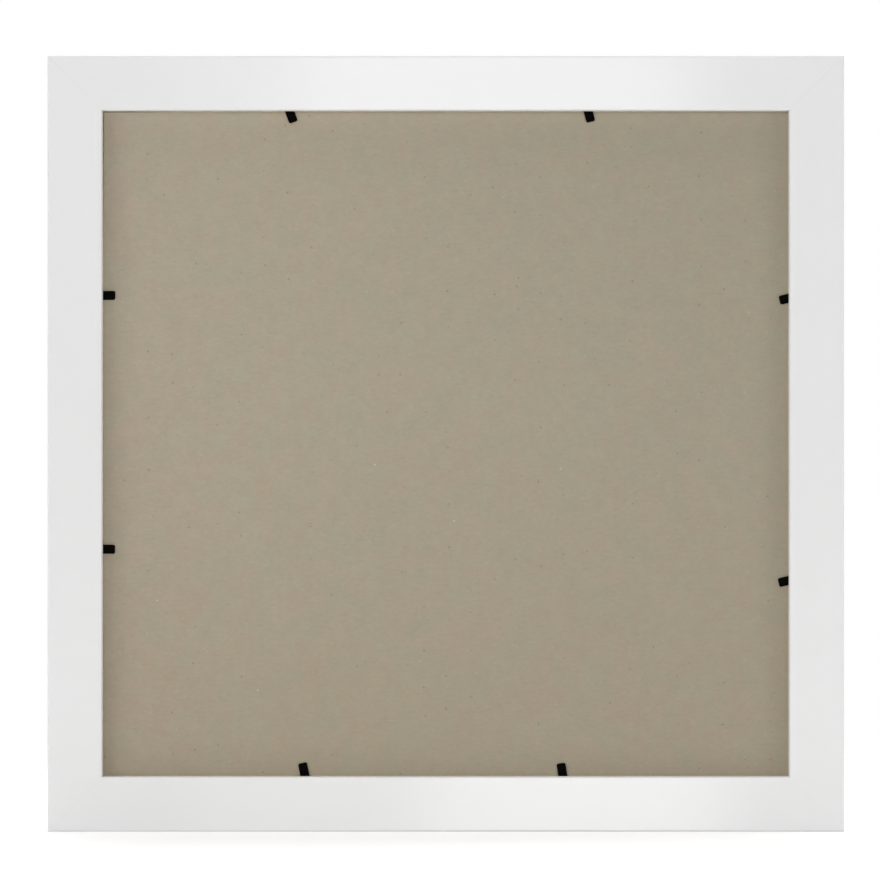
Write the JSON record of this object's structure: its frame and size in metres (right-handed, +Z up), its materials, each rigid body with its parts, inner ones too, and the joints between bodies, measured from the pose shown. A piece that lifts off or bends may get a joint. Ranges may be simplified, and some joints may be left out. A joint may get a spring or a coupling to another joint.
{
  "type": "vinyl record frame",
  "caption": "White picture frame for a record sleeve: mitred rebated rails, clear glazing, blank insert and a greyboard back held by black bendable points.",
  "frame": {"origin": "middle of the bottom edge, on the surface it stands on, halfway through the moulding's depth", "axes": "+Z up, -Y out of the back with its board, +Y out of the glazed front, +X to the right as seen from behind"},
  "size_m": [0.38, 0.019, 0.37],
  "materials": {
    "rail_finish": "smooth white satin lacquer over wood fibre moulding",
    "glazing": "clear picture glass",
    "insert": "blank off-white sheet",
    "board": "raw recycled greyboard with fine fibres and specks",
    "point_steel": "black coated spring steel, slightly glossy",
    "nail_steel": "bare steel"
  },
  "bodies": {
    "frame": {"rail_bottom": "rail_finish", "rail_left": "rail_finish", "rail_top": "rail_finish", "rail_right": "rail_finish", "glazing": "glazing", "insert_sheet": "insert", "backing_board": "board", "corner_nail_top_left_outer": "nail_steel", "corner_nail_top_left_inner": "nail_steel", "corner_nail_top_right_outer": "nail_steel", "corner_nail_top_right_inner": "nail_steel", "corner_nail_bottom_left_outer": "nail_steel", "corner_nail_bottom_left_inner": "nail_steel", "corner_nail_bottom_right_outer": "nail_steel", "corner_nail_bottom_right_inner": "nail_steel", "point_anchor_top_left": "point_steel", "point_anchor_top_right": "point_steel", "point_anchor_left_upper": "point_steel", "point_anchor_left_lower": "point_steel", "point_anchor_right_upper": "point_steel", "point_anchor_right_lower": "point_steel", "point_anchor_bottom_left": "point_steel", "point_anchor_bottom_right": "point_steel"},
    "blade_top_left": {"point_blade_top_left": "point_steel"},
    "blade_top_right": {"point_blade_top_right": "point_steel"},
    "blade_left_upper": {"point_blade_left_upper": "point_steel"},
    "blade_left_lower": {"point_blade_left_lower": "point_steel"},
    "blade_right_upper": {"point_blade_right_upper": "point_steel"},
    "blade_right_lower": {"point_blade_right_lower": "point_steel"},
    "blade_bottom_left": {"point_blade_bottom_left": "point_steel"},
    "blade_bottom_right": {"point_blade_bottom_right": "point_steel"}
  },
  "joints": [
    {"name": "bend_top_left", "type": "hinge", "parent": "frame", "child": "blade_top_left", "pos_m": [-0.07424, -0.00345, 0.34273], "axis": [-0.9397, 0, -0.342], "range_deg": [0, 90]},
    {"name": "bend_top_right", "type": "hinge", "parent": "frame", "child": "blade_top_right", "pos_m": [0.06838, -0.00345, 0.34292], "axis": [-0.9681, 0, -0.2504], "range_deg": [0, 90]},
    {"name": "bend_left_upper", "type": "hinge", "parent": "frame", "child": "blade_left_upper", "pos_m": [-0.16345, -0.00345, 0.2559], "axis": [0, 0, -1], "range_deg": [0, 90]},
    {"name": "bend_left_lower", "type": "hinge", "parent": "frame", "child": "blade_left_lower", "pos_m": [-0.16339, -0.00345, 0.13458], "axis": [-0.0262, 0, -0.9997], "range_deg": [0, 90]},
    {"name": "bend_right_upper", "type": "hinge", "parent": "frame", "child": "blade_right_upper", "pos_m": [0.16294, -0.00345, 0.25433], "axis": [-0.2419, 0, 0.9703], "range_deg": [0, 90]},
    {"name": "bend_right_lower", "type": "hinge", "parent": "frame", "child": "blade_right_lower", "pos_m": [0.16294, -0.00345, 0.11933], "axis": [-0.2419, 0, 0.9703], "range_deg": [0, 90]},
    {"name": "bend_bottom_left", "type": "hinge", "parent": "frame", "child": "blade_bottom_left", "pos_m": [-0.06751, -0.00345, 0.02699], "axis": [0.9781, 0, 0.2079], "range_deg": [0, 90]},
    {"name": "bend_bottom_right", "type": "hinge", "parent": "frame", "child": "blade_bottom_right", "pos_m": [0.05586, -0.00345, 0.02688], "axis": [0.9877, 0, 0.1564], "range_deg": [0, 90]}
  ]
}
